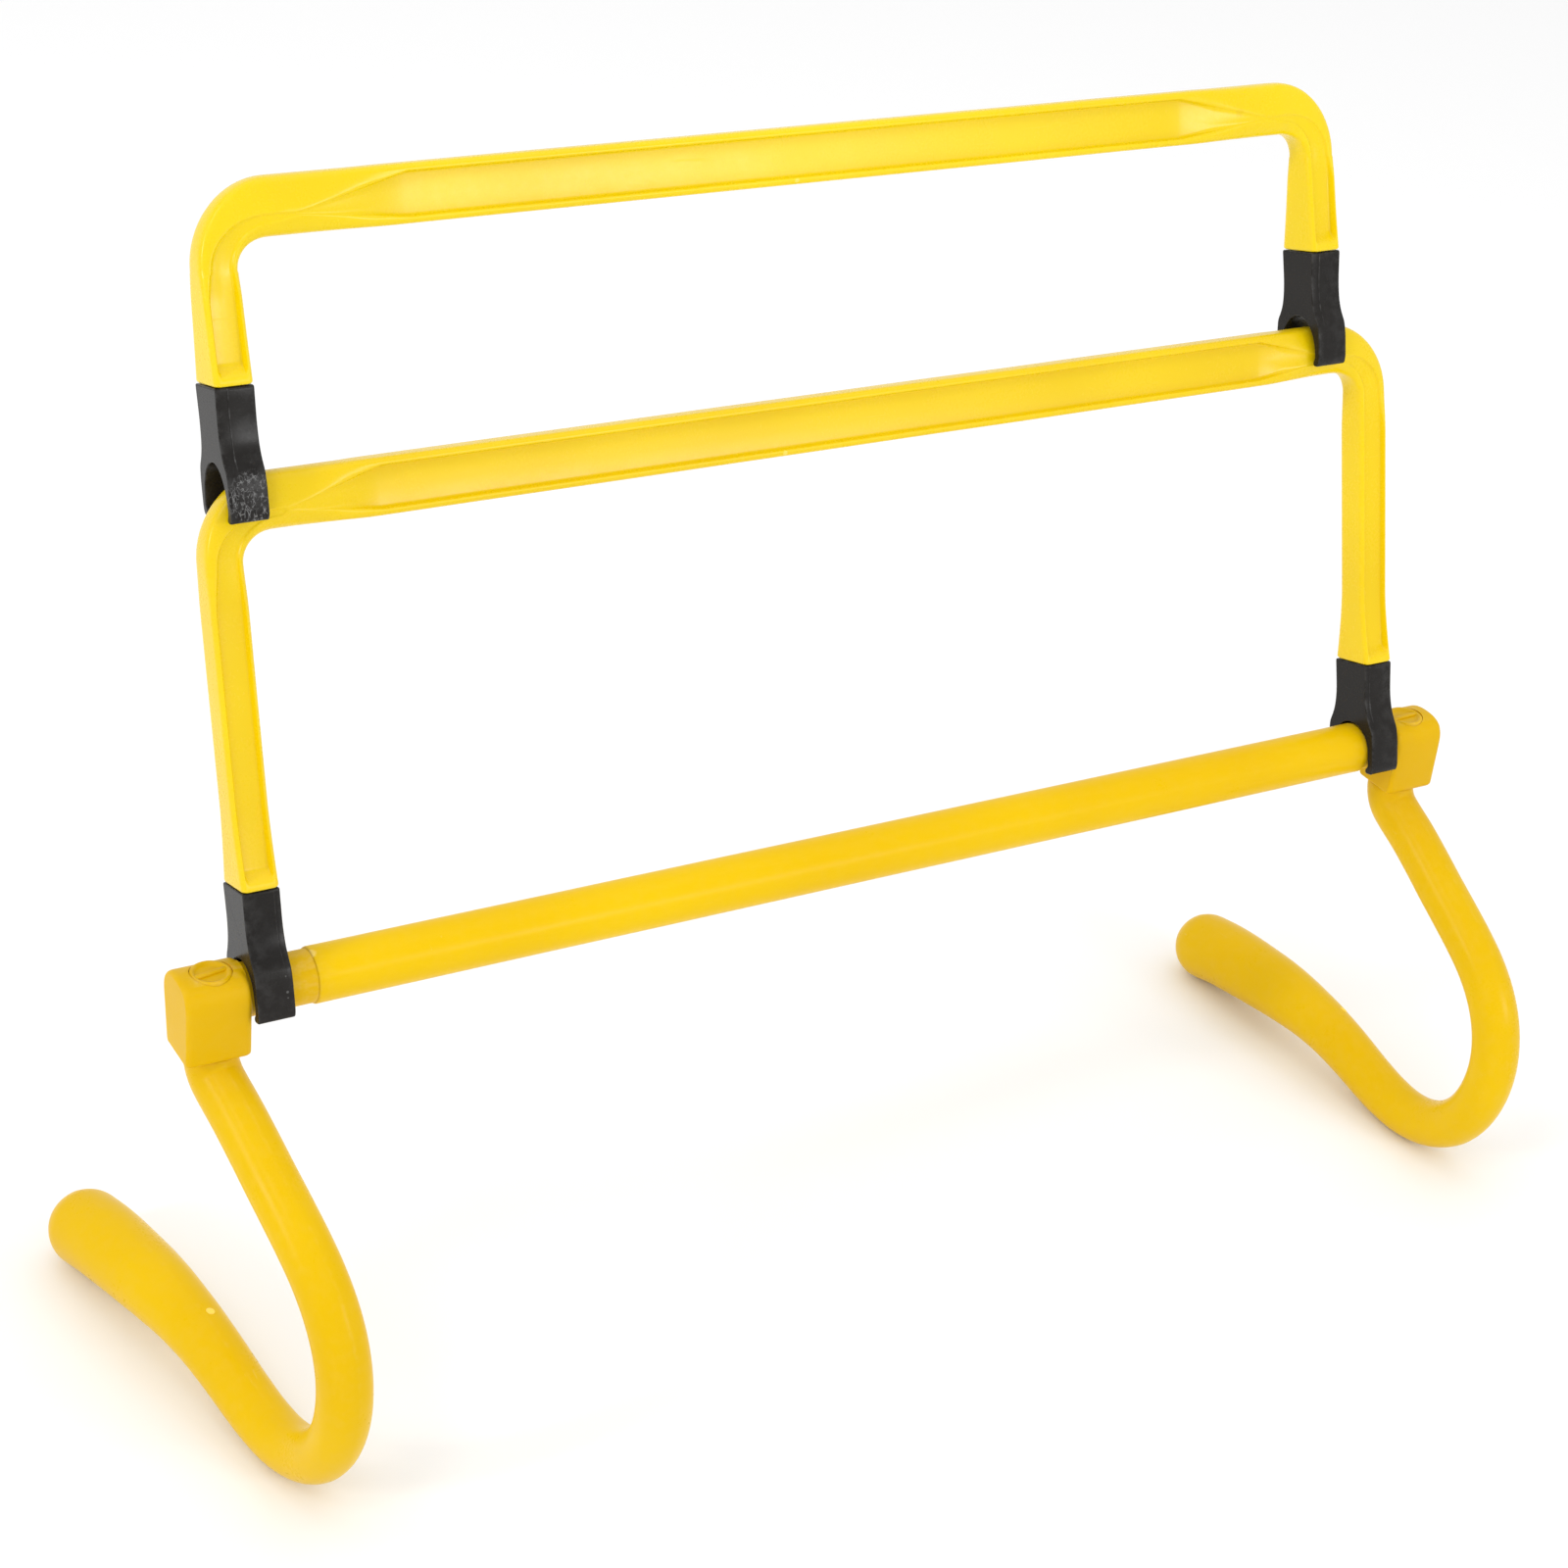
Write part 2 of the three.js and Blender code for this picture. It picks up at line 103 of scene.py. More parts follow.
def rounded(poly, cut, steps=4, most=0.46):
    """Closed outline with every corner replaced by a short curve."""
    out, n = [], len(poly)
    cuts = cut if isinstance(cut, (list, tuple)) else [cut] * n
    for i in range(n):
        p, q, r = poly[i - 1], poly[i], poly[(i + 1) % n]
        pv, qv, rv = Vector(p), Vector(q), Vector(r)
        la, lb = (pv - qv).length, (rv - qv).length
        a = qv + (pv - qv) * (min(cuts[i], most * la) / max(la, 1e-9))
        b = qv + (rv - qv) * (min(cuts[i], most * lb) / max(lb, 1e-9))
        for k in range(steps + 1):
            t = k / steps
            out.append((1 - t) ** 2 * a + 2 * t * (1 - t) * qv + t * t * b)
    return out


def loft(rings, caps=True, tips=None):
    """Quads through rings of equal counts.  `tips` closes the ends to points."""
    bm = bmesh.new()
    rows = [[bm.verts.new(v) for v in ring] for ring in rings]
    n = len(rows[0])
    for r0, r1 in zip(rows, rows[1:]):
        for k in range(n):
            bm.faces.new((r0[k], r0[(k + 1) % n], r1[(k + 1) % n], r1[k]))
    if tips:
        for row, tip, flip in ((rows[0], tips[0], True), (rows[-1], tips[1], False)):
            v = bm.verts.new(tip)
            for k in range(n):
                a, b = row[k], row[(k + 1) % n]
                bm.faces.new((v, b, a) if flip else (v, a, b))
    elif caps:
        bm.faces.new(list(reversed(rows[0])))
        bm.faces.new(rows[-1])
    bmesh.ops.recalc_face_normals(bm, faces=bm.faces)
    if bm.calc_volume(signed=True) < 0:
        bmesh.ops.reverse_faces(bm, faces=bm.faces)
    return bm


def lathe(profile, axis="Z", segments=96):
    """Closed turned shape from a closed or axis-to-axis list of (radius, height)."""
    bm = bmesh.new()
    rows = []
    for r, z in profile:
        if r < 1e-6:
            rows.append([bm.verts.new((0, 0, z))])
        else:
            rows.append([bm.verts.new((r * math.cos(2 * math.pi * k / segments), r * math.sin(2 * math.pi * k / segments), z)) for k in range(segments)])
    pairs = list(zip(rows, rows[1:]))
    if len(rows[0]) > 1:
        pairs.append((rows[-1], rows[0]))
    for a, b in pairs:
        for k in range(segments):
            k2 = (k + 1) % segments
            if len(a) == 1:
                bm.faces.new((a[0], b[k2], b[k]))
            elif len(b) == 1:
                bm.faces.new((a[k], a[k2], b[0]))
            else:
                bm.faces.new((a[k], a[k2], b[k2], b[k]))
    if axis == "X":
        bmesh.ops.rotate(bm, verts=bm.verts, cent=(0, 0, 0), matrix=Matrix.Rotation(math.pi / 2, 3, "Y"))
    bmesh.ops.recalc_face_normals(bm, faces=bm.faces)
    if bm.calc_volume(signed=True) < 0:
        bmesh.ops.reverse_faces(bm, faces=bm.faces)
    return bm


def brick(w, d, h, x, y, z, soft=0.5):
    bm = bmesh.new()
    bmesh.ops.create_cube(bm, size=1, matrix=Matrix.Translation((x, y, z)) @ Matrix.Diagonal((w, d, h, 1)))
    if soft:
        bmesh.ops.bevel(bm, geom=list(bm.edges), offset=soft, segments=3, profile=0.5, affect="EDGES", clamp_overlap=True)
    return bm


def raw(name, bm):
    me = bpy.data.meshes.new(name)
    bm.to_mesh(me)
    bm.free()
    ob = bpy.data.objects.new(name, me)
    bpy.context.scene.collection.objects.link(ob)
    return ob


def boolean(ob, bm, how):
    tool = raw("tool", bm)
    mod = ob.modifiers.new("join", "BOOLEAN")
    mod.operation, mod.solver, mod.object = how, "EXACT", tool
    bpy.context.view_layer.update()
    dg = bpy.context.evaluated_depsgraph_get()
    me = bpy.data.meshes.new_from_object(ob.evaluated_get(dg))
    ob.modifiers.clear()
    old = ob.data
    ob.data = me
    bpy.data.meshes.remove(old)
    mesh = tool.data
    bpy.data.objects.remove(tool)
    bpy.data.meshes.remove(mesh)
    return ob


def add_shell(ob, bm):
    """Adds a second closed shell, rooted inside the first."""
    me = bpy.data.meshes.new("shell")
    bm.to_mesh(me)
    bm.free()
    both = bmesh.new()
    both.from_mesh(ob.data)
    both.from_mesh(me)
    both.to_mesh(ob.data)
    both.free()
    bpy.data.meshes.remove(me)
    return ob


def dress(ob, name, matrix, body, node, material, sharp=38.0, bevel=None):
    """Puts a piece in place in the row frame, shades it and hangs it on its body."""
    bm = bmesh.new()
    bm.from_mesh(ob.data)
    bmesh.ops.remove_doubles(bm, verts=bm.verts, dist=1e-4)
    if bevel:
        edges = [e for e in bm.edges if len(e.link_faces) == 2 and e.calc_face_angle(0) > math.radians(50)]
        bmesh.ops.bevel(bm, geom=edges, offset=bevel, segments=2, profile=0.5, affect="EDGES", clamp_overlap=True)
        bmesh.ops.remove_doubles(bm, verts=bm.verts, dist=1e-4)
    bmesh.ops.dissolve_degenerate(bm, edges=bm.edges, dist=1e-5)
    bm.normal_update()
    for f in bm.faces:
        f.smooth = len(f.verts) <= 6
    for e in bm.edges:
        e.smooth = not (len(e.link_faces) == 2 and e.calc_face_angle(0) > math.radians(sharp))
    edge = bm.loops.layers.float.new("edge")
    keen = {}
    for v in bm.verts:
        s = 0.0
        for e in v.link_edges:
            if len(e.link_faces) == 2:
                s = max(s, e.calc_face_angle_signed(0))
        keen[v] = max(0.0, min(1.0, s / 0.9))
    for f in bm.faces:
        for loop in f.loops:
            loop[edge] = keen[loop.vert] if len(f.verts) <= 6 else 0.0
    ob.name = name
    ob.data.name = name
    bm.to_mesh(ob.data)
    bm.free()
    ob.data.transform(matrix)
    ob.data.update()
    ob.data.materials.clear()
    ob.data.materials.append(material)
    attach(ob, body)
    if node:
        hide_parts(node)
    return ob


# ------------------------------------------------------------------ materials
def plastic(name, base, dark, light, rough, spots=(), scuff=0.3, sheen_ior=1.5, subsurface=0.06, flow_scale=7.0, grain=0.05, specular=0.10, drift_scale=9.0, vary=1.0, patch=None):
    """Moulded plastic: soft colour drift, flow streaks, fine grain, scratches and paler, worn edges."""
    mat = bpy.data.materials.new(name)
    mat.use_nodes = True
    nt = mat.node_tree
    N, L = nt.nodes, nt.links
    N.clear()
    out = N.new("ShaderNodeOutputMaterial")
    bsdf = N.new("ShaderNodeBsdfPrincipled")
    L.new(bsdf.outputs[0], out.inputs[0])
    co = N.new("ShaderNodeTexCoord")

    def mapping(scale):
        m = N.new("ShaderNodeMapping")
        m.inputs["Scale"].default_value = scale
        L.new(co.outputs["Object"], m.inputs[0])
        return m.outputs[0]

    def noise_tex(vec, scale, detail=3.0, rough_=0.55, distortion=0.0):
        t = N.new("ShaderNodeTexNoise")
        t.inputs["Scale"].default_value = scale
        t.inputs["Detail"].default_value = detail
        t.inputs["Roughness"].default_value = rough_
        t.inputs["Distortion"].default_value = distortion
        L.new(vec, t.inputs["Vector"])
        return t.outputs["Fac"]

    def ramp(fac, stops):
        r = N.new("ShaderNodeValToRGB")
        cr = r.color_ramp
        while len(cr.elements) < len(stops):
            cr.elements.new(0.5)
        for e, (p, c) in zip(cr.elements, stops):
            e.position = p
            e.color = (*c, 1) if len(c) == 3 else c
        L.new(fac, r.inputs[0])
        return r.outputs[0]

    def mixc(fac, a, b, mode="MIX"):
        m = N.new("ShaderNodeMix")
        m.data_type, m.blend_type = "RGBA", mode
        for sock, val in ((m.inputs[0], fac), (m.inputs[6], a), (m.inputs[7], b)):
            if isinstance(val, (int, float)):
                sock.default_value = val
            elif isinstance(val, tuple):
                sock.default_value = (*val, 1)
            else:
                L.new(val, sock)
        return m.outputs[2]

    def math_(op, a, b=0.0, clamp=False):
        m = N.new("ShaderNodeMath")
        m.operation, m.use_clamp = op, clamp
        for sock, val in ((m.inputs[0], a), (m.inputs[1], b)):
            if isinstance(val, (int, float)):
                sock.default_value = val
            else:
                L.new(val, sock)
        return m.outputs[0]

    # colour: broad drift, then flow streaks along X
    drift = noise_tex(mapping((1, 1, 1)), drift_scale, 2.0)
    colour = ramp(drift, [(0.30, dark), (0.52, base), (0.78, light)])
    flow = noise_tex(mapping((flow_scale, 55.0, 55.0)), 1.0, 4.0, 0.6)
    colour = mixc(math_("MULTIPLY", ramp(flow, [(0.45, (0, 0, 0)), (0.75, (1, 1, 1))]), 0.10), colour, light)

    # worn, slightly paler edges
    at = N.new("ShaderNodeAttribute")
    at.attribute_name = "edge"
    wear_noise = noise_tex(mapping((1, 1, 1)), 260.0, 3.0, 0.6)
    wear = math_("MULTIPLY", at.outputs["Fac"], ramp(wear_noise, [(0.42, (0, 0, 0)), (0.68, (1, 1, 1))]), True)
    pale = tuple(min(1.0, lerp(c, 1.0, 0.35)) for c in light)
    colour = mixc(math_("MULTIPLY", wear, 0.45 * scuff), colour, pale)

    # hairline scratches in two directions
    scr = []
    for k, (sx, sy, sz, rot) in enumerate(((30, 900, 900, 0.35), (900, 40, 700, -0.5))):
        m = N.new("ShaderNodeMapping")
        m.inputs["Scale"].default_value = (sx, sy, sz)
        m.inputs["Rotation"].default_value = (rot * 0.4, rot, rot * 0.7)
        L.new(co.outputs["Object"], m.inputs[0])
        s = noise_tex(m.outputs[0], 1.0, 2.0, 0.5)
        scr.append(ramp(s, [(0.70, (0, 0, 0)), (0.76, (1, 1, 1))]))
    scratch = math_("MAXIMUM", scr[0], scr[1])
    area = ramp(noise_tex(mapping((1, 1, 1)), 24.0, 2.0), [(0.50, (0, 0, 0)), (0.70, (1, 1, 1))])
    scratch = math_("MULTIPLY", scratch, area, True)
    colour = mixc(math_("MULTIPLY", scratch, 0.30 * scuff), colour, pale)

    bump_extra = None
    rough_extra = None
    # local marks: (centre in metres, radius, strength, colour)
    for centre, radius, strength, tint in spots:
        geo = N.new("ShaderNodeVectorMath")
        geo.operation = "DISTANCE"
        L.new(co.outputs["Object"], geo.inputs[0])
        geo.inputs[1].default_value = centre
        wob = math_("MULTIPLY", math_("SUBTRACT", noise_tex(mapping((1, 1, 1)), 420.0, 2.0), 0.5), radius * 0.9)
        d = math_("ADD", geo.outputs["Value"], wob)
        f = math_("SUBTRACT", 1.0, math_("DIVIDE", d, radius), True)
        f = ramp(f, [(0.0, (0, 0, 0)), (0.45, (1, 1, 1))])
        colour = mixc(math_("MULTIPLY", f, strength), colour, tint)
    # crazed, scuffed patch inside a ball
    if patch:
        centre, radius = patch
        geo = N.new("ShaderNodeVectorMath")
        geo.operation = "DISTANCE"
        L.new(co.outputs["Object"], geo.inputs[0])
        geo.inputs[1].default_value = centre
        ball = ramp(math_("DIVIDE", geo.outputs["Value"], radius), [(0.75, (1, 1, 1)), (1.0, (0, 0, 0))])
        lines = []
        for turn, stretch in ((0.5, 0.30), (-0.35, 0.38)):
            m = N.new("ShaderNodeMapping")
            m.inputs["Scale"].default_value = (1.0, 1.0, stretch)
            m.inputs["Rotation"].default_value = (0.28, turn, 0.0)
            L.new(co.outputs["Object"], m.inputs[0])
            vor = N.new("ShaderNodeTexVoronoi")
            vor.feature = "DISTANCE_TO_EDGE"
            vor.inputs["Scale"].default_value = 820.0
            L.new(m.outputs[0], vor.inputs["Vector"])
            lines.append(ramp(vor.outputs["Distance"], [(0.0, (1, 1, 1)), (0.07, (0, 0, 0))]))
        broken = ramp(noise_tex(mapping((1, 1, 1)), 700.0, 2.0), [(0.42, (0, 0, 0)), (0.58, (1, 1, 1))])
        veins = math_("MULTIPLY", math_("MAXIMUM", lines[0], lines[1]), broken)
        patch_f = math_("MULTIPLY", ball, veins, True)
        colour = mixc(math_("MULTIPLY", patch_f, 0.6), colour, pale)
        bump_extra = patch_f

    L.new(colour, bsdf.inputs["Base Color"])

    # roughness: broad smear plus fine speckle, rougher where scratched or worn
    r0 = noise_tex(mapping((1, 1, 1)), 38.0, 4.0, 0.6)
    r1 = noise_tex(mapping((1, 1, 1)), 900.0, 2.0, 0.5)
    rr = math_("ADD", math_("MULTIPLY", math_("SUBTRACT", r0, 0.5), 0.22 * vary), math_("MULTIPLY", math_("SUBTRACT", r1, 0.5), 0.10))
    rr = math_("ADD", rr, rough)
    rr = math_("ADD", rr, math_("MULTIPLY", scratch, 0.2))
    rr = math_("ADD", rr, math_("MULTIPLY", wear, 0.15), True)
    L.new(rr, bsdf.inputs["Roughness"])
    bsdf.inputs["IOR"].default_value = sheen_ior
    bsdf.inputs["Specular IOR Level"].default_value = specular
    if subsurface:
        bsdf.inputs["Subsurface Weight"].default_value = subsurface
        bsdf.inputs["Subsurface Radius"].default_value = (1.0, 0.55, 0.08)
        bsdf.inputs["Subsurface Scale"].default_value = 0.004

    # bump: slow mould ripple, fine grain, scratches
    ripple = noise_tex(mapping((1, 1, 1)), 60.0, 2.0, 0.5)
    fine = noise_tex(mapping((1, 1, 1)), 1400.0, 2.0, 0.6)
    h = math_("ADD", math_("MULTIPLY", ripple, 0.10 * vary), math_("MULTIPLY", fine, grain))
    h = math_("SUBTRACT", h, math_("MULTIPLY", scratch, 0.10 * scuff))
    if bump_extra is not None:
        h = math_("ADD", h, math_("MULTIPLY", bump_extra, 0.5))
    b = N.new("ShaderNodeBump")
    b.inputs["Strength"].default_value = 0.5
    b.inputs["Distance"].default_value = 0.0006
    L.new(h, b.inputs["Height"])
    L.new(b.outputs[0], bsdf.inputs["Normal"])
    return mat


def srgb(r, g, b):
    f = lambda c: (c / 255 / 12.92) if c / 255 <= 0.04045 else ((c / 255 + 0.055) / 1.055) ** 2.4
    return (f(r), f(g), f(b))


BAR_GOLD = dict(base=srgb(230, 188, 0), dark=srgb(225, 181, 0), light=srgb(235, 195, 2))
LEG_GOLD = dict(base=srgb(222, 180, 0), dark=srgb(217, 173, 0), light=srgb(228, 187, 2))
BLOCK_GOLD = dict(base=srgb(219, 175, 0), dark=srgb(214, 169, 0), light=srgb(226, 184, 2))
LEMON_MIDDLE = dict(base=srgb(232, 199, 0), dark=srgb(227, 192, 0), light=srgb(237, 206, 3))
LEMON_UPPER = dict(base=srgb(235, 206, 0), dark=srgb(231, 200, 0), light=srgb(240, 213, 3))
BLACK = dict(base=srgb(30, 28, 26), dark=srgb(26, 24, 23), light=srgb(35, 32, 30))


def world_point(matrix, x, y, z):
    return tuple(matrix @ Vector((x, y, z)))


# ------------------------------------------------------------------ crossbar
def build_crossbar():
    x0, x1 = -BLOCK_X + STEP["left"], BLOCK_X - STEP["right"]
    ri = BAR_R - BAR_WALL
    prof = [(ri + 0.25, x0), (BAR_R - 0.75, x0), (BAR_R - 0.35, x0 + 0.08), (BAR_R - 0.1, x0 + 0.32), (BAR_R, x0 + 0.8)]
    n = 60
    for k in range(1, n):
        x = lerp(x0 + 0.8, x1 - 0.8, k / n)
        prof.append((BAR_R - 0.03 + 0.03 * mnoise.noise(Vector((x * 0.02, 3.1, 0.7))), x))
    prof += [(BAR_R, x1 - 0.8), (BAR_R - 0.1, x1 - 0.32), (BAR_R - 0.35, x1 - 0.08), (BAR_R - 0.75, x1), (ri + 0.25, x1), (ri, x1 - 0.25), (ri, x0 + 0.25)]
    ob = raw("t", lathe(prof, "X", 112))
    mat = plastic("crossbar_plastic", **BAR_GOLD, rough=0.32, scuff=0.5, spots=[
        (world_point(AT_STAND, x0 + 0.2, -1.5, 9.9), 0.0022, 0.4, srgb(255, 228, 150)),
    ])
    dress(ob, "crossbar_tube_skin", AT_STAND, "base", "crossbar_tube", mat)


# ------------------------------------------------------------------ corner blocks
def build_block(side):
    sgn = 1 if side == "left" else -1
    poly = [(-10.9, -20), (8.6, -20), (11.9, 1.5), (11.3, 4.8), (9.2, 7.9), (6.2, 9.6), (2.4, 10.3),
            (-2.4, 10.3), (-6, 9.6), (-8.8, 7.9), (-10.4, 4.8), (-10.9, 1.5)]
    cuts = [2.2, 2.2, 2.2, 2, 2, 2, 2, 2, 2, 2, 2, 2]
    outline = rounded(poly, cuts, 5)
    n = len(outline)
    # outward normals in the outline's plane
    normals = []
    for i in range(n):
        t = outline[(i + 1) % n] - outline[i - 1]
        normals.append(Vector((t.y, -t.x)).normalized())
    area = sum(outline[i].x * outline[(i + 1) % n].y - outline[(i + 1) % n].x * outline[i].y for i in range(n))
    if area < 0:
        normals = [-v for v in normals]
    rings = []
    half, soft, run = BLOCK_W / 2, 1.2, 2.2
    ends = []
    for k in range(9):
        a = k / 8 * math.pi / 2
        ends.append((half - run * (1 - math.cos(a)), soft * (1 - math.sin(a))))
    profile = sorted([(-x, inset) for x, inset in ends] + ends)
    for x, inset in profile:
        rings.append([Vector((x - sgn * BLOCK_OUT, p.x - nv.x * inset, p.y - nv.y * inset)) for p, nv in zip(outline, normals)])
    ob = raw("t", loft(rings))
    face = BLOCK_W / 2 - BLOCK_OUT
    end = STEP[side] - 0.03
    ri = BAR_R - BAR_WALL - GAP

    def along(profile):
        pr = [(r, sgn * x) for r, x in profile]
        return lathe(pr, "X", 96)

    # collar with a small root fillet, then the spigot inside the tube
    neck = [(0, face - 4), (COLLAR_R + 1.2, face - 4), (COLLAR_R + 1.0, face - 0.1), (COLLAR_R + 0.45, face + 0.25), (COLLAR_R + 0.12, face + 0.7), (COLLAR_R, face + 1.3),
            (COLLAR_R, end), (ri, end), (ri, end + SPIGOT - 1), (ri - 0.8, end + SPIGOT), (0, end + SPIGOT)]
    boolean(ob, along(neck), "UNION")
    # socket for the neck, passage for the shank, seat for the plug head
    boolean(ob, lathe([(0, -26), (NECK_R + GAP, -26), (NECK_R + GAP, NECK_TOP + 1.4), (PLUG_SHANK + GAP, NECK_TOP + 1.4), (PLUG_SHANK + GAP, PLUG_SEAT - GAP),
                       (PLUG_R + 0.1, PLUG_SEAT - GAP), (PLUG_R + 0.1, 16), (0, 16)], "Z", 80), "DIFFERENCE")
    x = -BLOCK_X if side == "left" else BLOCK_X
    m = AT_STAND @ Matrix.Translation((x, 0, 0))
    mat = plastic(side + "_block_plastic", **BLOCK_GOLD, rough=0.40, scuff=0.35, grain=0.07)
    dress(ob, side + "_corner_block_shell", m, "base", side + "_corner_block", mat, sharp=33)


# ------------------------------------------------------------------ legs and plugs
def catmull(points, per):
    out = []
    pts = [points[0] * 2 - points[1]] + list(points) + [points[-1] * 2 - points[-2]]
    for i in range(1, len(pts) - 2):
        p0, p1, p2, p3 = pts[i - 1:i + 3]
        t0 = 0.0
        t1 = t0 + max(1e-6, (p1 - p0).length ** 0.5)
        t2 = t1 + max(1e-6, (p2 - p1).length ** 0.5)
        t3 = t2 + max(1e-6, (p3 - p2).length ** 0.5)
        for k in range(per):
            t = lerp(t1, t2, k / per)
            a1 = p0 * ((t1 - t) / (t1 - t0)) + p1 * ((t - t0) / (t1 - t0))
            a2 = p1 * ((t2 - t) / (t2 - t1)) + p2 * ((t - t1) / (t2 - t1))
            a3 = p2 * ((t3 - t) / (t3 - t2)) + p3 * ((t - t2) / (t3 - t2))
            b1 = a1 * ((t2 - t) / (t2 - t0)) + a2 * ((t - t0) / (t2 - t0))
            b2 = a2 * ((t3 - t) / (t3 - t1)) + a3 * ((t - t1) / (t3 - t1))
            out.append(b1 * ((t2 - t) / (t2 - t1)) + b2 * ((t - t1) / (t2 - t1)))
    out.append(points[-1].copy())
    return out


def build_leg(side):
    path = catmull([Vector((0, b, -d)) for b, d in LEG_LINE], 12)
    lens = [0.0]
    for a, b in zip(path, path[1:]):
        lens.append(lens[-1] + (b - a).length)
    total = lens[-1]

    def at(s):
        s = max(0.0, min(total, s))
        for i in range(len(lens) - 1):
            if s <= lens[i + 1]:
                t = (s - lens[i]) / max(1e-9, lens[i + 1] - lens[i])
                p = path[i].lerp(path[i + 1], t)
                j0, j1 = max(0, i - 3), min(len(path) - 1, i + 4)
                return p, (path[j1] - path[j0]).normalized()
        return path[-1], (path[-1] - path[-2]).normalized()

    def radius(s):
        return table_at(LEG_RADIUS, total - s)

    sides = 56
    ax = Vector((1, 0, 0))

    def ring(c, t, r, wobble=0.0, seed=0.0):
        nrm = t.cross(ax).normalized()
        out = []
        for k in range(sides):
            a = 2 * math.pi * k / sides
            rr = r
            if wobble:
                # slow blow-moulding unevenness and a faint parting line in the plane of the bend
                rr += wobble * mnoise.noise(Vector((math.cos(a) * 1.5, math.sin(a) * 1.5, seed * 0.035)))
                for seam in (math.pi / 2, 3 * math.pi / 2):
                    d = (a - seam + math.pi) % (2 * math.pi) - math.pi
                    rr += 0.10 * math.exp(-(d / 0.07) ** 2)
            out.append(c + ax * (rr * math.cos(a)) + nrm * (rr * math.sin(a)))
        return out

    down = Vector((0, 0, -1))
    z0 = BLOCK_BOTTOM - GAP
    outer = [ring(Vector((0, 0, z)), down, r) for z, r in (
        (NECK_TOP, NECK_R - 0.6), (NECK_TOP - 0.2, NECK_R - 0.2), (NECK_TOP - 0.7, NECK_R), (z0 - 0.02, NECK_R), (z0, 8.7), (z0 - 0.15, 9.05), (z0 - 0.55, 9.3))]
    s = 2.6
    while s < total - 1.0:
        c, t = at(s)
        outer.append(ring(c, t, radius(s), 0.10, s))
        s += 1.6 if s < 16 else (2.6 if s < 24 else 3.2)
    foot, tan = at(total)
    r = LEG_RADIUS[0][1]
    for k in range(0, 12):
        a = math.radians(k * 7.5)
        outer.append(ring(foot + tan * (r * math.sin(a)), tan, r * math.cos(a), 0.08 * math.cos(a), total))
    tip_out = foot + tan * r
    inner = [ring(Vector((0, 0, NECK_TOP)), down, NECK_BORE + 0.3), ring(Vector((0, 0, NECK_TOP - 0.4)), down, NECK_BORE), ring(Vector((0, 0, BLOCK_BOTTOM)), down, NECK_BORE)]
    s = 4.0
    while s < total - 8:
        c, t = at(s)
        inner.append(ring(c, t, min(radius(s) - LEG_WALL, NECK_BORE + 0.16 * s)))
        s += 4.0 if s < 20 else 9.0
    ri = r - LEG_WALL
    for k in range(0, 6):
        a = math.radians(k * 15)
        inner.append(ring(foot + tan * (ri * math.sin(a)), tan, ri * math.cos(a)))
    tip_in = foot + tan * ri
    ob = raw("t", loft(list(reversed(inner)) + outer, tips=(tip_in, tip_out)))
    x = -BLOCK_X if side == "left" else BLOCK_X
    m = AT_STAND @ Matrix.Translation((x, 0, 0)) @ Matrix.Rotation(LEG_TURN[side], 4, "Z")
    body = side + "_leg_swivel"
    mat = plastic(side + "_leg_plastic", **LEG_GOLD, rough=0.30, scuff=0.4, flow_scale=30.0)
    dress(ob, side + "_leg_skin", m, body, side + "_leg", mat, sharp=50)

    # gate mark: low pale button left by the moulding, on the outer side of the foot run
    s_gate = total - 81
    c, t = at(s_gate)
    d = Vector((0.25, -0.13, 0.95) if side == "left" else (0.50, -0.12, 0.86)).normalized()
    d = (d - t * d.dot(t)).normalized()
    base = c + d * (radius(s_gate) - 0.25)
    prof = [(0, 0), (1.6, 0), (1.6, 0.26), (1.4, 0.36), (1.0, 0.40), (0.7, 0.36), (0.5, 0.30), (0, 0.30)]
    gate = raw("t", lathe(prof, "Z", 32))
    q = Vector((0, 0, 1)).rotation_difference(d).to_matrix().to_4x4()
    pale = plastic(side + "_gate_plastic", base=srgb(250, 214, 80), dark=srgb(248, 204, 50), light=srgb(255, 232, 140), rough=0.5, scuff=0.8)
    dress(gate, side + "_leg_gate_mark", m @ Matrix.Translation(base) @ q, body, None, pale)

    # retaining plug: dished head with a turning bar
    prof = [(0, -11), (3.4, -11), (4.1, -10.6), (PLUG_SHANK, -9.6), (PLUG_SHANK, PLUG_SEAT), (PLUG_R - 0.2, PLUG_SEAT), (PLUG_R, PLUG_SEAT + 0.2),
            (PLUG_R, PLUG_TOP - 0.55), (PLUG_R - 0.12, PLUG_TOP - 0.25), (PLUG_R - 0.4, PLUG_TOP - 0.05), (PLUG_R - 0.75, PLUG_TOP), (PLUG_R - 1.2, PLUG_TOP - 0.08),
            (PLUG_R - 1.6, PLUG_TOP - 0.3), (PLUG_R - 2.0, PLUG_TOP - 0.65), (PLUG_R - 2.5, PLUG_TOP - 0.85), (PLUG_R - 3.4, PLUG_TOP - 0.9), (0, PLUG_TOP - 0.9)]
    plug = raw("t", lathe(prof, "Z", 96))
    boolean(plug, brick(2 * PLUG_R - 2.4, 2.2, 1.6, 0, 0, PLUG_TOP - 0.95, 0.45), "UNION")
    pm = plastic(side + "_plug_plastic", **BLOCK_GOLD, rough=0.36, scuff=0.5)
    dress(plug, side + "_plug_body", m, body, side + "_leg_retaining_plug", pm, sharp=35)


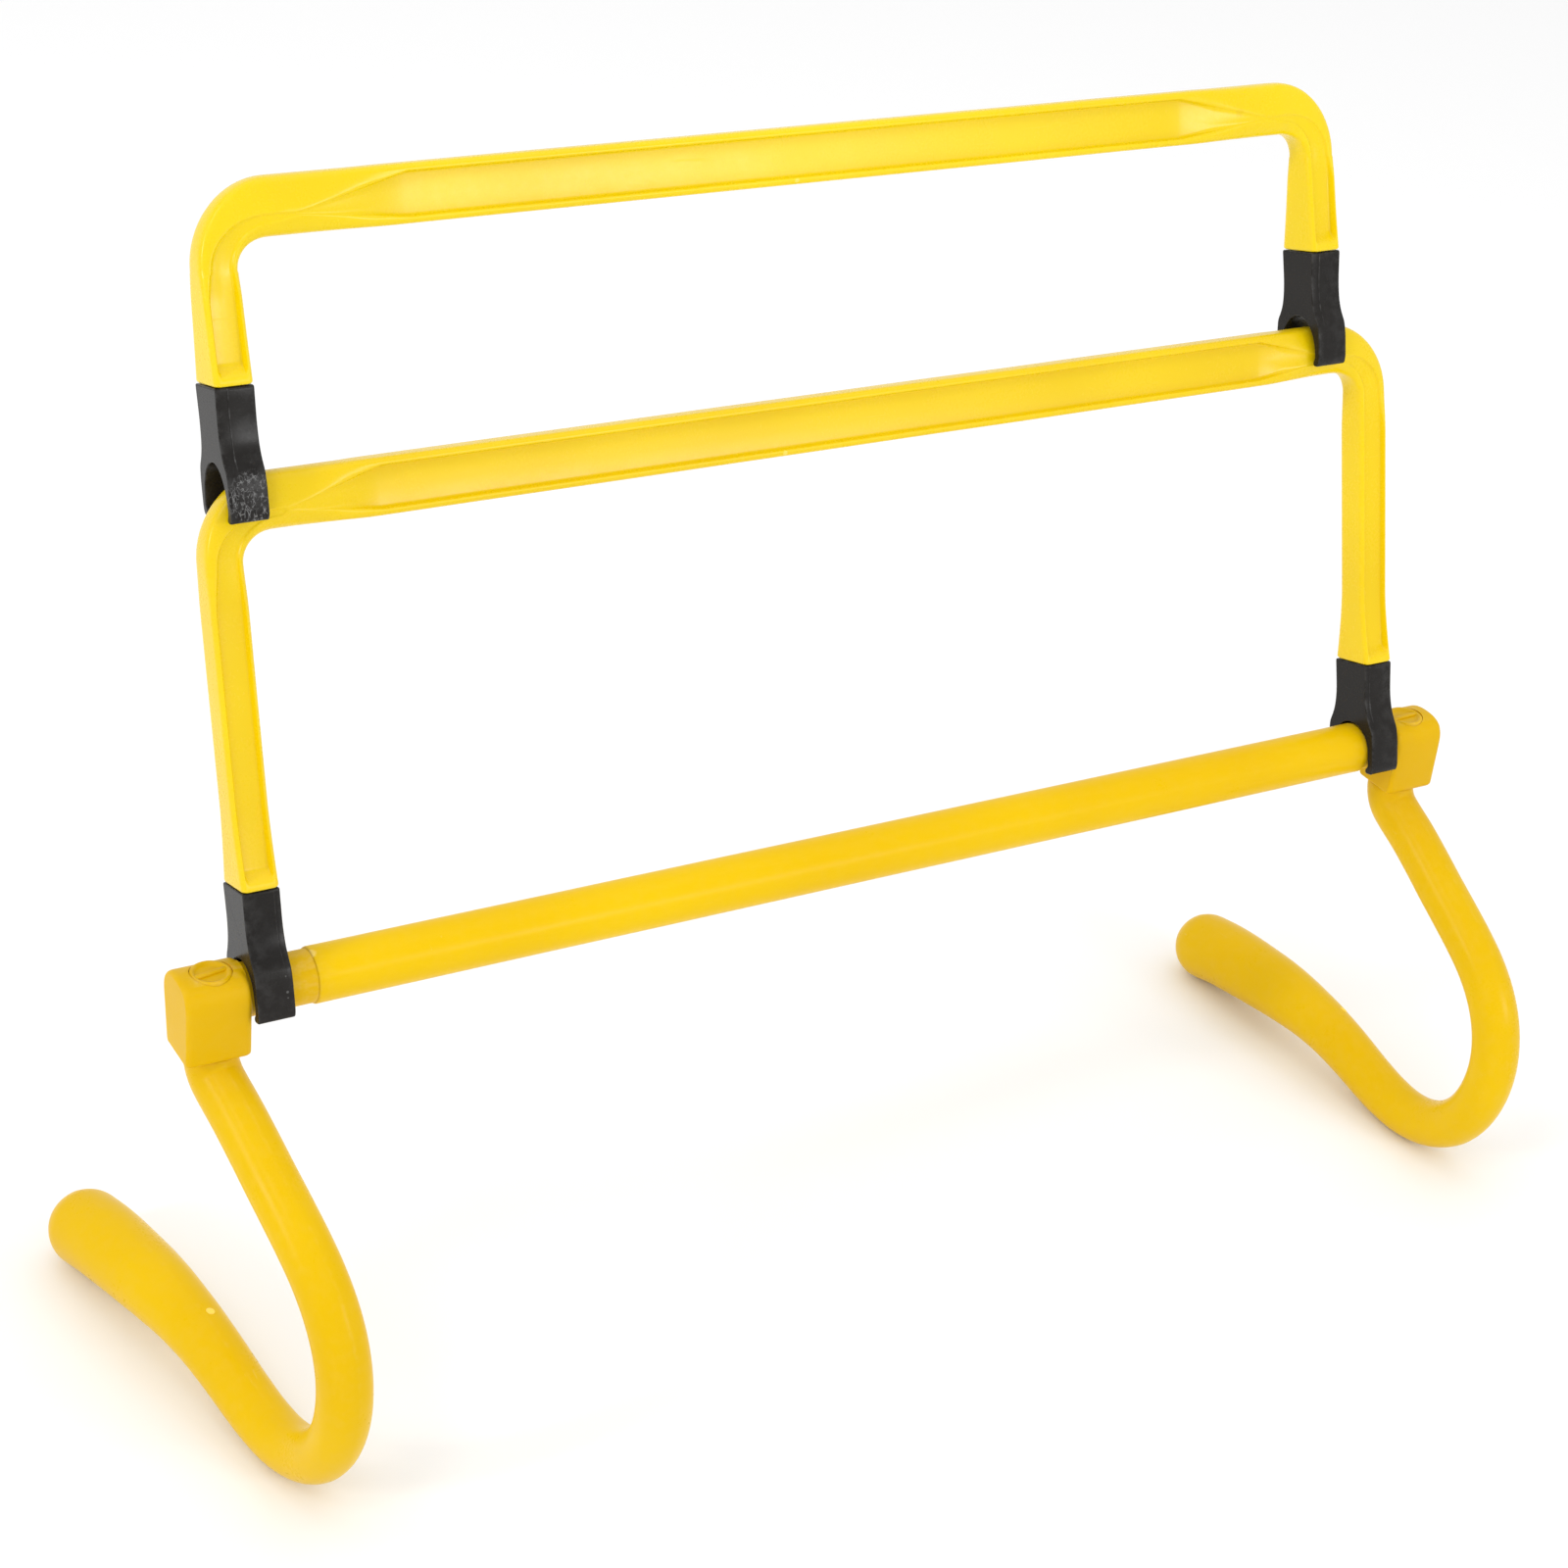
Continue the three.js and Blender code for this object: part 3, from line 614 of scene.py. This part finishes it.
# ------------------------------------------------------------------ clips
def clip_outline(p, lift=0.0):
    """Half outlines joined over the bore; `lift` raises the front face by that much."""
    top, end, r, mouth = p["top"], p["end"], p["bore"], p["mouth"]
    if top > 37:
        side = [(8.7, top), (9.1, top - 0.5), (8.8, top - 6), (8.5, top - 12), (8.8, 20.5), (9.9, 16), (12.3, 11.8), (12.9, 7), (12.9, end + 3)]
    else:
        side = [(8.8, top), (9.2, top - 0.5), (9.0, top - 7), (8.9, top - 13), (9.6, 17), (10.9, 13), (13.0, 9.0), (13.6, 4.5), (13.6, end + 3)]
    y_out = side[-1][0]
    side += [(y_out - 0.5, end + 0.9), (y_out - 1.3, end), (mouth + 0.8, end), (mouth, end + 0.8), (mouth + 0.2, end + 1.8), (r, end + 3.2)]
    cut = [0.4, 0.7, 3, 3, 3, 2.5, 1.3, 1.6, 1.2, 1.0, 0.6, 0.5, 0.4, 0.5, 0.8]
    bore, nb = [], 20
    for k in range(nb + 1):
        a = k / nb * math.pi
        bore.append((r * math.cos(a), (r + p["rise"]) * math.sin(a)))
    back = [(y, z) for y, z in side]
    front = [(-y, z) for y, z in reversed(side)]
    front_n = len(front)
    poly = back + bore + front
    cuts = cut + [0.6] * len(bore) + list(reversed(cut))
    if lift:
        k0 = len(back) + len(bore)
        for i in range(k0, k0 + front_n):
            y, z = poly[i]
            if y < -8.3 and 12.5 < z < top - 0.2:
                poly[i] = (y - lift, z)
    return rounded(poly, cuts, 3)


def build_clip(name, p, matrix, body, panel=(-2.6, 9.0), lift=0.45, patch=None, spots=(), flip=False):
    flat = clip_outline(p, 0.0)
    high = clip_outline(p, lift)
    n = len(flat)

    def normals_of(o):
        out = []
        for i in range(n):
            t = o[(i + 1) % n] - o[i - 1]
            out.append(Vector((t.y, -t.x)).normalized())
        area = sum(o[i].x * o[(i + 1) % n].y - o[(i + 1) % n].x * o[i].y for i in range(n))
        return out if area > 0 else [-v for v in out]

    nf = normals_of(flat)
    half, soft = CLIP_W / 2, 0.45
    rows = []
    for k in range(5):
        a = k / 4 * math.pi / 2
        rows.append((-half + soft * (1 - math.cos(a)), soft * (1 - math.sin(a))))
    for x in panel:
        if abs(x) < half - 1.1:
            rows += [(x - 0.35, 0), (x - 0.12, 0), (x + 0.12, 0), (x + 0.35, 0)]
    for k in range(5):
        a = k / 4 * math.pi / 2
        rows.append((half - soft * (1 - math.cos(a)), soft * (1 - math.sin(a))))
    rows = sorted(set(rows))
    rings = []
    for x, inset in rows:
        w = smooth((x - panel[0] + 0.14) / 0.28) * (1 - smooth((x - panel[1] + 0.14) / 0.28))
        ring = []
        for f, h, nv in zip(flat, high, nf):
            q = f.lerp(h, w)
            ring.append(Vector((x, q.x - nv.x * inset, q.y - nv.y * inset)))
        rings.append(ring)
    ob = raw("t", loft(rings))
    hw, hd, hz = TENON
    add_shell(ob, brick(2 * hw, 2 * hd, hz + 2, 0, 0, p["top"] + hz / 2 - 1, 0.5))
    mat = plastic(name + "_plastic", **BLACK, rough=0.26, scuff=0.45, subsurface=0.0, grain=0.05, specular=0.15, drift_scale=30.0, vary=0.3, patch=patch, spots=spots)
    dress(ob, name + "_shell", matrix, body, name, mat, sharp=34)


# ------------------------------------------------------------------ U frames
def frame_ring(q):
    """Section across the bar.  n > 0 is the outer side; front is negative y.

    a, b: half height and half depth; f, g: front and rear channel depth; eo, ei: outer and
    inner flange width; step: depth of the groove that runs on round the corner; m: 0 for a
    channel, 1 for round.
    """
    a, b, f, g, m = q["a"], q["b"], q["f"], q["g"], q["m"]
    c, cr = min(1.2, 0.25 * b), q["cr"]
    hi, lo = a - q["eo"], -(a - q["ei"])
    if hi - lo < 1.6:
        mid = (hi + lo) / 2
        hi, lo = mid + 0.8, mid - 0.8
    s = min(q["s"], (hi - lo) * 0.28)
    top = (hi + lo) / 2
    er = q["er"]
    k = a - er
    poly = [(a - c, -b), (hi, -b), (hi - s, -b + f), (top, -b + f), (lo + s, -b + f), (lo, -b), (-a + c, -b),
            (-a, -b + c), (-a, b - cr), (-a + cr, b), (-k, b), (-k + 0.8, b - g), (k - 0.8, b - g), (k, b), (a - cr, b), (a, b - cr), (a, -b + c)]
    deg = [36, 56, 74, 90, 106, 124, 144, 166, 196, 218, 236, 256, 284, 304, 322, 344, 374]
    out = []
    for i, ((n, y), d) in enumerate(zip(poly, deg)):
        t = math.radians(d)
        rn, ry = a * math.cos(t), -b * math.sin(t)
        if i in (1, 2, 3, 4, 5):
            # keep the front points in step with the flanges while the section rounds off
            rn = n
            ry = -b * math.sqrt(max(0.05, 1 - (rn / a) ** 2))
            if 1 < i < 5:
                ry += q["step"]
        out.append((lerp(n, rn, m), lerp(y, ry, m)))
    base = [0.75, 0.45, 0.5, 0.4, 0.5, 0.45, 0.75, 0.9, 2.2, 2.2, 0.5, 0.8, 0.8, 0.5, 2.2, 2.2, 0.9]
    cuts = [lerp(v, 9.0, smooth(m * 1.25)) for v in base]
    keen = min(1.0, q["step"] * 2)
    for i in (1, 2, 4, 5):
        cuts[i] = lerp(cuts[i], 0.6, keen)
    return rounded(out, cuts, 4)


def build_frame(name, half, bar, foot, flare, round_to, channel_from, roundness, matrix, body, spots=()):
    post = dict(a=6.6, b=7.0, f=2.2, g=4.6, eo=1.5, ei=1.5, er=2.6, cr=1.6, m=0.0, s=0.8, step=0.0)
    span = dict(a=9.7, b=7.0, f=2.8, g=7.2, eo=2.4, ei=2.3, er=4.9, cr=4.4, m=0.0, s=0.6, step=0.0)
    seat = dict(a=9.85, b=8.95, f=0.4, g=0.5, eo=11.75, ei=6.6, er=5.0, cr=4.4, m=roundness, s=0.6, step=0.35)
    mix = lambda p, q, t: {k: lerp(p[k], q[k], t) for k in p}
    rows = []
    start = bar - CORNER_R
    tall = start - foot > 60

    def depth(z):
        return 7 + 3 * max(0.0, 1 - (z - foot) / flare) ** 1.5

    def up(z, sec):
        rows.append(dict(x=-half, z=z, tx=0.0, tz=1.0, **sec))

    # post: blunt foot, channel with a dished lower end, running out below the corner
    marks = [foot, foot + 0.25, foot + 0.7, foot + 1.5, foot + 2.2]
    zz = foot + 2.5
    while zz < foot + 12:
        marks.append(zz)
        zz += 0.5
    while zz < start - 1:
        marks.append(zz)
        zz += 2.0 if not tall else 3.5
    marks.append(start - 0.5)
    fade0, fade1 = (start - 16, start + 2) if tall else (start - 10, start + 4)
    corner0 = dict(post, f=1.7, g=1.4, eo=3.3, ei=1.9, m=0.25, step=0.9)
    for z in marks:
        open_ = smooth((z - foot - 2.2) / 4.6) ** 0.8
        close = smooth((z - fade0) / (fade1 - fade0))
        q = mix(post, corner0, close)
        q["b"] = depth(z)
        q["f"] = (q["f"] + 0.35 * (q["b"] - 7)) * open_
        q["g"] *= open_
        grow = 1 - smooth((z - foot - 2.0) / 3.0)
        q["eo"] += 0.6 * grow
        q["ei"] += 0.6 * grow
        tiny = 0.5 * (1 - min(1.0, (z - foot) / 0.7)) ** 2
        q["a"] -= tiny
        q["b"] -= tiny
        up(z, q)
    for k in range(0, 19):
        deg = k * 5.0
        t = math.radians(deg)
        w = smooth(deg / 90)
        q = mix(corner0, dict(seat, b=8.7), w)
        q["b"] = 7 + 1.7 * (deg / 90) ** 3
        q["eo"] = lerp(corner0["eo"], 11.6, w)
        q["ei"] = lerp(corner0["ei"], 5.0, w)
        q["step"] = lerp(0.9, 0.55, w)
        rows.append(dict(x=-half + CORNER_R * (1 - math.cos(t)), z=start + CORNER_R * math.sin(t), tx=math.sin(t), tz=math.cos(t), **q))

    def along(u, sec):
        rows.append(dict(x=-half + u, z=bar, tx=1.0, tz=0.0, **sec))

    steps = 8
    for k in range(1, steps + 1):
        w = k / steps
        along(lerp(CORNER_R + 1.0, round_to, w), dict(seat, b=lerp(8.75, 8.95, smooth(w)), eo=lerp(11.6, seat["eo"], w), ei=lerp(5.0, seat["ei"], w), step=lerp(0.55, seat["step"], w)))
    # channel opening out of the round seat in a long point
    steps = 22
    for k in range(1, steps + 1):
        w = k / steps
        q = mix(seat, span, w)
        q["m"] = seat["m"] * (1 - smooth(w))
        q["g"] = span["g"] * smooth((w - 0.2) / 0.8)
        q["b"] = lerp(8.95, 7.0, smooth(w))
        along(lerp(round_to, channel_from, w), q)
    u = channel_from + 6
    while u < half:
        q = dict(span)
        q["f"] = span["f"] + 0.10 * mnoise.noise(Vector((u * 0.03, 1.7, 0.3)))
        along(u, q)
        u += 9.0
    mirrored = [dict(r, x=-r["x"], tz=-r["tz"]) for r in reversed(rows)]
    rings = []
    for r in rows + mirrored:
        wob = 0.06 * mnoise.noise(Vector((r["x"] * 0.02, r["z"] * 0.02, 5.0)))
        rings.append([Vector((r["x"] - (p.x + wob) * r["tz"], p.y, r["z"] + (p.x + wob) * r["tx"])) for p in frame_ring(r)])
    ob = raw("t", loft(rings))
    hw, hd, hz = TENON
    for x in (-half, half):
        deep = hz + 0.8
        boolean(ob, brick(2 * (hw + GAP), 2 * (hd + GAP), deep + 2, x, 0, foot + deep / 2 - 1, 0), "DIFFERENCE")
    mat = plastic(name + "_plastic", **(LEMON_MIDDLE if "middle" in name else LEMON_UPPER), rough=0.27, scuff=0.18, specular=0.28, vary=0.7, spots=spots)
    dress(ob, name + "_moulding", matrix, body, name, mat, sharp=42)


# ------------------------------------------------------------------ assembly
build_crossbar()
for side in ("left", "right"):
    build_block(side)
    build_leg(side)

MIDDLE = AT_FRAMES @ Matrix.Translation((MID_X, 0, 0))
TOP = AT_FRAMES @ Matrix.Translation((TOP_X, 0, MID_BAR))
build_frame("middle_frame", MID_HALF, MID_BAR, LOWER["top"] + GAP, 28, 22, 56, 0.92, MIDDLE, "middle_rail", spots=[
    (world_point(AT_FRAMES, -30, -7.0, MID_BAR - 8.4), 0.0011, 0.35, srgb(255, 240, 150)),
])
build_frame("upper_frame", TOP_HALF, TOP_BAR - MID_BAR, UPPER["top"] + GAP, 40, 27, 66, 0.62, TOP, "upper_rail", spots=[
    (world_point(AT_FRAMES, -20, -7.0, TOP_BAR - 8.4), 0.0011, 0.35, srgb(255, 240, 150)),
    (world_point(AT_FRAMES, 171, -8.4, TOP_BAR + 0.5), 0.0020, 0.25, srgb(205, 165, 10)),
])
build_clip("middle_left_clip", LOWER, MIDDLE @ Matrix.Translation((-MID_HALF, 0, 0)), "middle_clips", panel=(-9.0, 4.4), lift=0.14,
           spots=[(world_point(MIDDLE, -MID_HALF + 4.2, -13.6, z), r, 0.45, srgb(120, 120, 118)) for z, r in ((6.2, 0.0004), (0.6, 0.0005), (-1.4, 0.0003))])
build_clip("middle_right_clip", LOWER, MIDDLE @ Matrix.Translation((MID_HALF, 0, 0)), "middle_clips", panel=(-4.4, 9.0), lift=0.14)
build_clip("upper_left_clip", UPPER, TOP @ Matrix.Translation((-TOP_HALF, 0, 0)), "upper_clips", panel=(-2.6, 9.0), lift=0.35,
           patch=(world_point(TOP, -TOP_HALF + 1.5, -12.9, 3.5), 0.0095))
build_clip("upper_right_clip", UPPER, TOP @ Matrix.Translation((TOP_HALF, 0, 0)), "upper_clips", panel=(-3.4, 9.0), lift=0.30)

# ------------------------------------------------------------------ stage, camera and lights
bm = bmesh.new()
bmesh.ops.create_grid(bm, x_segments=2, y_segments=2, size=9.0)
floor = raw("floor", bm)
fm = bpy.data.materials.new("floor_pale")
fm.use_nodes = True
fb = fm.node_tree.nodes["Principled BSDF"]
fn = fm.node_tree.nodes.new("ShaderNodeTexNoise")
fn.inputs["Scale"].default_value = 3.0
fr = fm.node_tree.nodes.new("ShaderNodeValToRGB")
fr.color_ramp.elements[0].color = (0.925, 0.925, 0.925, 1)
fr.color_ramp.elements[1].color = (0.95, 0.95, 0.95, 1)
fm.node_tree.links.new(fn.outputs["Fac"], fr.inputs[0])
fm.node_tree.links.new(fr.outputs[0], fb.inputs["Base Color"])
fb.inputs["Roughness"].default_value = 0.9
floor.data.materials.append(fm)

scene = bpy.context.scene
scene.view_settings.view_transform = "Standard"
scene.view_settings.look = "None"

cam_data = bpy.data.cameras.new("camera")
cam = bpy.data.objects.new("camera", cam_data)
scene.collection.objects.link(cam)
scene.camera = cam
cam_data.sensor_width = 36.0
cam_data.lens = 73.19
cam_data.clip_start, cam_data.clip_end = 0.05, 50
right = Vector((0.8639, -0.4950, 0.0929)).normalized()
fwd = Vector((0.4719, 0.7312, -0.4927)).normalized()
upv = right.cross(fwd).normalized()
rot = Matrix((right, upv, -fwd)).transposed().to_4x4()
cam.matrix_world = Matrix.Translation(STAND + Vector((-0.5799, -0.8375, 0.6021))) @ rot

world = bpy.data.worlds.new("studio")
scene.world = world
world.use_nodes = True
world.node_tree.nodes["Background"].inputs[0].default_value = (1, 1, 1, 1)
world.node_tree.nodes["Background"].inputs[1].default_value = 0.92


def area(name, loc, target, size, size_y, energy, colour=(1, 1, 1)):
    d = bpy.data.lights.new(name, "AREA")
    d.shape, d.size, d.size_y, d.energy, d.color = "RECTANGLE", size, size_y, energy, colour
    o = bpy.data.objects.new(name, d)
    scene.collection.objects.link(o)
    o.location = loc
    o.rotation_euler = (Vector(target) - Vector(loc)).to_track_quat("-Z", "Y").to_euler()
    return o


area("top_soft", (0.2, 0.4, 2.6), (0, 0, 0.2), 2.6, 2.2, 10)
area("key_left", (-2.15, -0.25, 1.05), (0, 0, 0.15), 0.18, 0.55, 9)
area("front_soft", (0.86, -1.97, 0.86), (-0.1, 0, 0.4), 0.60, 0.36, 9)
area("upper_soft", (-1.35, -0.55, 2.0), (0, 0, 0.2), 0.4, 0.5, 4)
